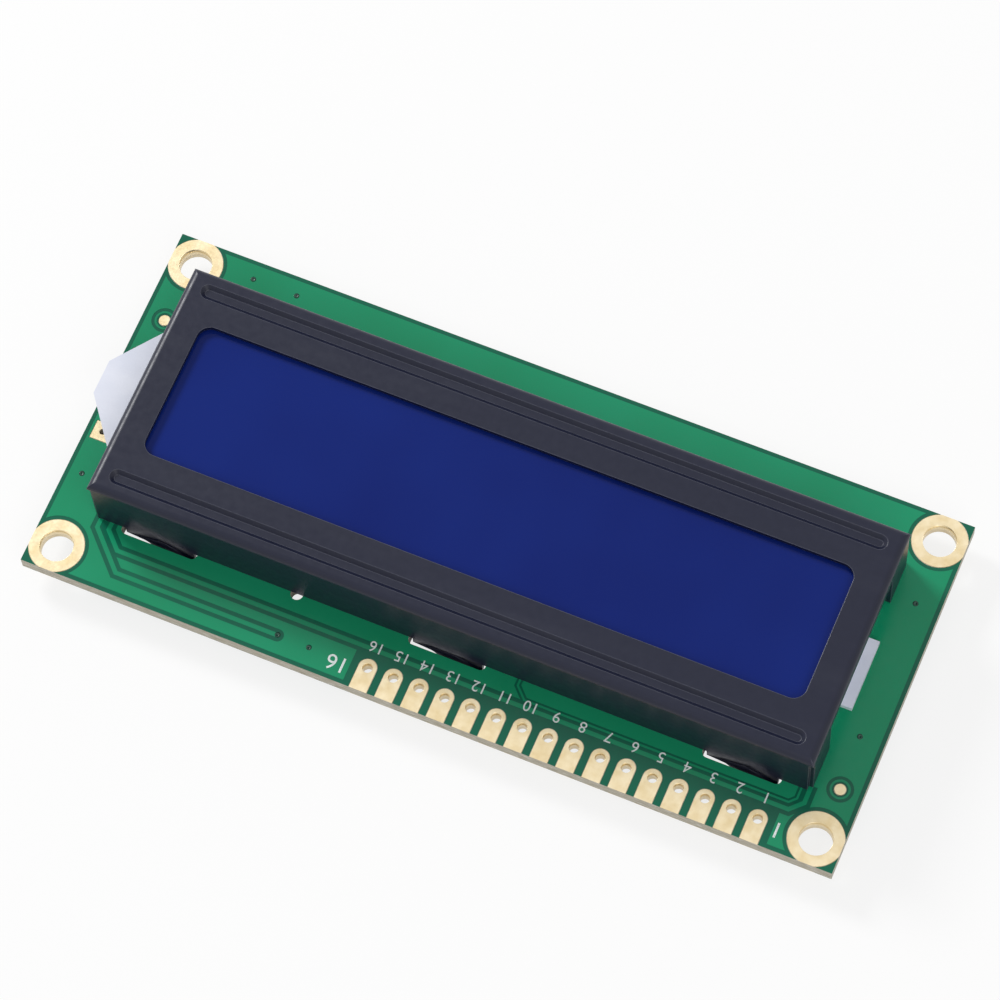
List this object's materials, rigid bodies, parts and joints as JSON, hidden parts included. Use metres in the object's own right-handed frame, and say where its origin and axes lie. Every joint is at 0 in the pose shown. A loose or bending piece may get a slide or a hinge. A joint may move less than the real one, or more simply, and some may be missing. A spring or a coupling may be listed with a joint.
{
  "type": "character lcd module",
  "caption": "Character display module: green circuit board, folded dark metal bezel round a blue window, side light tail at one end and a row of plated header holes.",
  "frame": {"origin": "centre of the four mounting holes, on the rear face of the circuit board", "axes": "+X along the board towards the end with the backlight tail, +Y towards the header edge, +Z out of the display"},
  "size_m": [0.0802, 0.036, 0.0104],
  "materials": {
    "laminate": "satin",
    "solder_mask": "glossy",
    "gold_plating": "satin",
    "solder": "bright",
    "legend_ink": "matt",
    "bezel_paint": "satin black",
    "blue_film": "glossy",
    "cell_glass": "clear",
    "cell_glue": "matt",
    "grey_film": "satin",
    "white_film": "satin",
    "clear_plastic": "clear, polished",
    "striped_rubber": "matt",
    "lamp_housing": "satin",
    "silicon": "polished",
    "resin": "satin black",
    "resistor_ceramic": "glazed"
  },
  "bodies": {
    "root": {"circuit_board": "laminate", "front_solder_mask": "solder_mask", "back_solder_mask": "solder_mask", "header_pads": "gold_plating", "mounting_hole_lands": "gold_plating", "fiducial_marks": "gold_plating", "backlight_pads": "gold_plating", "backlight_pin_lands": "gold_plating", "zebra_contacts": "gold_plating", "component_pads": "gold_plating", "jumper_pads": "gold_plating", "back_legend": "legend_ink", "bezel": "bezel_paint", "front_polariser": "blue_film", "front_glass": "cell_glass", "cell_seal": "cell_glue", "cell_fill": "blue_film", "fill_port_plug": "cell_glue", "rear_glass": "cell_glass", "rear_polariser": "grey_film", "backlight_frame": "white_film", "diffuser_film": "white_film", "light_guide": "clear_plastic", "reflector_film": "white_film", "tail_film": "white_film", "header_side_zebra": "striped_rubber", "far_side_zebra": "striped_rubber", "led_package": "lamp_housing", "led_leads": "solder", "led_solder": "solder", "driver_die": "silicon", "controller_die": "silicon", "driver_cap": "resin", "controller_cap": "resin", "resistor_solder": "solder", "resistor_1_body": "resistor_ceramic", "resistor_1_ends": "solder", "resistor_2_body": "resistor_ceramic", "resistor_2_ends": "solder", "resistor_3_body": "resistor_ceramic", "resistor_3_ends": "solder", "resistor_4_body": "resistor_ceramic", "resistor_4_ends": "solder", "resistor_5_body": "resistor_ceramic", "resistor_5_ends": "solder", "resistor_6_body": "resistor_ceramic", "resistor_6_ends": "solder", "resistor_7_body": "resistor_ceramic", "resistor_7_ends": "solder", "resistor_8_body": "resistor_ceramic", "resistor_8_ends": "solder"}
  },
  "joints": []
}
